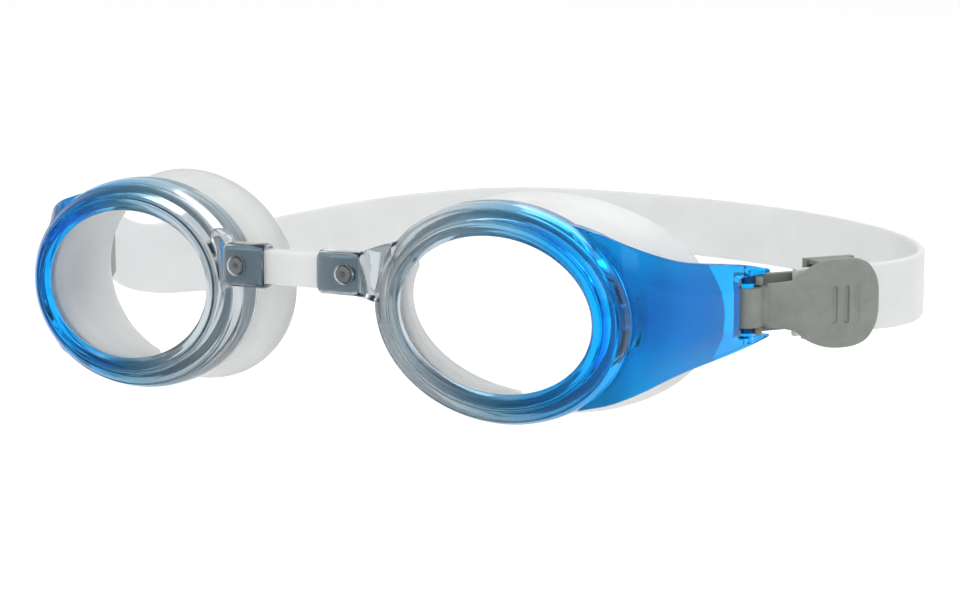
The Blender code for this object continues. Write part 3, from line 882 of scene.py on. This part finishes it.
def frosted_silicone(name, light, dark, transmission, grain=2400.0):
    """Soft translucent silicone with a fine frosted surface and faint clouding."""
    made, tree, shader = new_material(name)
    shader.inputs["Transmission Weight"].default_value = transmission
    shader.inputs["IOR"].default_value = 1.41
    shader.inputs["Subsurface Weight"].default_value = 0.25
    shader.inputs["Subsurface Scale"].default_value = 2.0 * MM
    shader.inputs["Subsurface Radius"].default_value = (1.0, 1.0, 0.95)
    stops = ((0.35, dark), (0.65, light))
    tree.links.new(colour_ramp(tree, noise(tree, 110.0, 4.0), stops), shader.inputs["Base Color"])
    tree.links.new(remap(tree, noise(tree, 700.0), 0.38, 0.5), shader.inputs["Roughness"])
    bump(tree, shader, noise(tree, grain, 2.0), 0.15, 0.05)
    return made


def soft_touch():
    """Matte grey with a fine grain."""
    made, tree, shader = new_material("soft_touch_grey")
    stops = ((0.3, (0.145, 0.160, 0.143)), (0.7, (0.180, 0.196, 0.176)))
    tree.links.new(colour_ramp(tree, noise(tree, 350.0, 6.0), stops), shader.inputs["Base Color"])
    tree.links.new(remap(tree, noise(tree, 1500.0), 0.5, 0.66), shader.inputs["Roughness"])
    bump(tree, shader, noise(tree, 3200.0, 3.0), 0.35, 0.04)
    return made


def smoke_plastic():
    made, tree, shader = new_material("smoke_plastic")
    shader.inputs["Transmission Weight"].default_value = 0.35
    stops = ((0.3, (0.10, 0.115, 0.12)), (0.7, (0.17, 0.185, 0.19)))
    tree.links.new(colour_ramp(tree, noise(tree, 500.0), stops), shader.inputs["Base Color"])
    tree.links.new(remap(tree, noise(tree, 1200.0), 0.12, 0.22), shader.inputs["Roughness"])
    return made


def floor_material():
    made, tree, shader = new_material("pale_floor")
    shader.inputs["Roughness"].default_value = 0.9
    stops = ((0.3, (0.93, 0.93, 0.93)), (0.7, (0.95, 0.95, 0.95)))
    tree.links.new(colour_ramp(tree, noise(tree, 3.0), stops), shader.inputs["Base Color"])
    return made


# Stage


def add_floor():
    half = FLOOR_HALF_SIZE
    mesh = bpy.data.meshes.new("floor")
    corners = [(x * half, y * half, FLOOR_Z * MM) for x, y in ((-1, -1), (1, -1), (1, 1), (-1, 1))]
    mesh.from_pydata(corners, [], [(0, 1, 2, 3)])
    mesh.materials.append(floor_material())
    floor = bpy.data.objects.new("floor", mesh)
    bpy.context.scene.collection.objects.link(floor)


def look_at(obj, place, target):
    obj.location = place
    obj.rotation_euler = (target - place).to_track_quat("-Z", "Y").to_euler()


def add_light(name, place, size, power):
    data = bpy.data.lights.new(name, "AREA")
    data.shape = "RECTANGLE"
    data.size = size[0]
    data.size_y = size[1]
    data.energy = power
    obj = bpy.data.objects.new(name, data)
    bpy.context.scene.collection.objects.link(obj)
    look_at(obj, Vector(place), Vector(LIGHT_TARGET))


def add_lights():
    world = bpy.data.worlds.new("studio")
    world.use_nodes = True
    background = world.node_tree.nodes["Background"]
    background.inputs["Color"].default_value = (1.0, 1.0, 1.0, 1.0)
    background.inputs["Strength"].default_value = WORLD_STRENGTH
    bpy.context.scene.world = world
    for name, (place, size, power) in LIGHTS.items():
        add_light(name, place, size, power)


def add_camera():
    azimuth = CAMERA_AZIMUTH
    elevation = CAMERA_ELEVATION
    level = math.cos(elevation)
    back = Vector((math.sin(azimuth) * level, -math.cos(azimuth) * level, math.sin(elevation)))
    right = Vector((math.cos(azimuth), math.sin(azimuth), 0))
    up = back.cross(right)
    data = bpy.data.cameras.new("camera")
    data.lens = CAMERA_LENS
    data.sensor_width = SENSOR_WIDTH
    data.clip_start = 0.01
    data.clip_end = 50.0
    camera = bpy.data.objects.new("camera", data)
    bpy.context.scene.collection.objects.link(camera)
    aim = Vector((0, CAMERA_AIM_Y, 0)) + right * CAMERA_RIGHT + up * CAMERA_UP
    look_at(camera, aim + back * CAMERA_DISTANCE, aim)
    bpy.context.scene.camera = camera


# Assembly


def finish_piece(obj, made, node, body):
    obj.data.materials.clear()
    obj.data.materials.append(made)
    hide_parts(node)
    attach(obj, body)


def main():
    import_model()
    bpy.context.scene.view_settings.view_transform = "Standard"
    add_floor()
    add_lights()
    add_camera()
    tinted = tinted_polycarbonate()
    clear = clear_polycarbonate()
    seal = frosted_silicone("seal_silicone", (0.76, 0.77, 0.765), (0.70, 0.71, 0.705), 0.5)
    soft = frosted_silicone("strap_silicone", (0.735, 0.745, 0.745), (0.69, 0.70, 0.70), 0.35)
    grey = soft_touch()
    smoke = smoke_plastic()
    for side, name in SIDE_NAMES.items():
        finish_piece(build_frame(side), tinted, f"{name}_frame", f"{name}_cup")
        finish_piece(build_lens(side), clear, f"{name}_lens", f"{name}_cup")
        finish_piece(build_seal(side), seal, f"{name}_seal", f"{name}_cup")
        finish_piece(build_pin(side), smoke, f"{name}_bridge_pin", f"{name}_cup")
        finish_piece(build_clip_base(side), grey, f"{name}_clip_base", f"{name}_clip")
        finish_piece(build_lever(side), grey, f"{name}_clip_lever", f"{name}_lever")
    build_soft_links(soft)


def build_soft_links(soft):
    """The two pieces that run across a joint: the nose bridge and the strap."""
    bar = build_bridge()
    bar.data.materials.clear()
    bar.data.materials.append(soft)
    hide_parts("nose_bridge")
    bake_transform(bar)
    strap = build_strap()
    strap.data.materials.append(soft)
    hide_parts("right_strap", "left_strap")
    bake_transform(strap)


main()
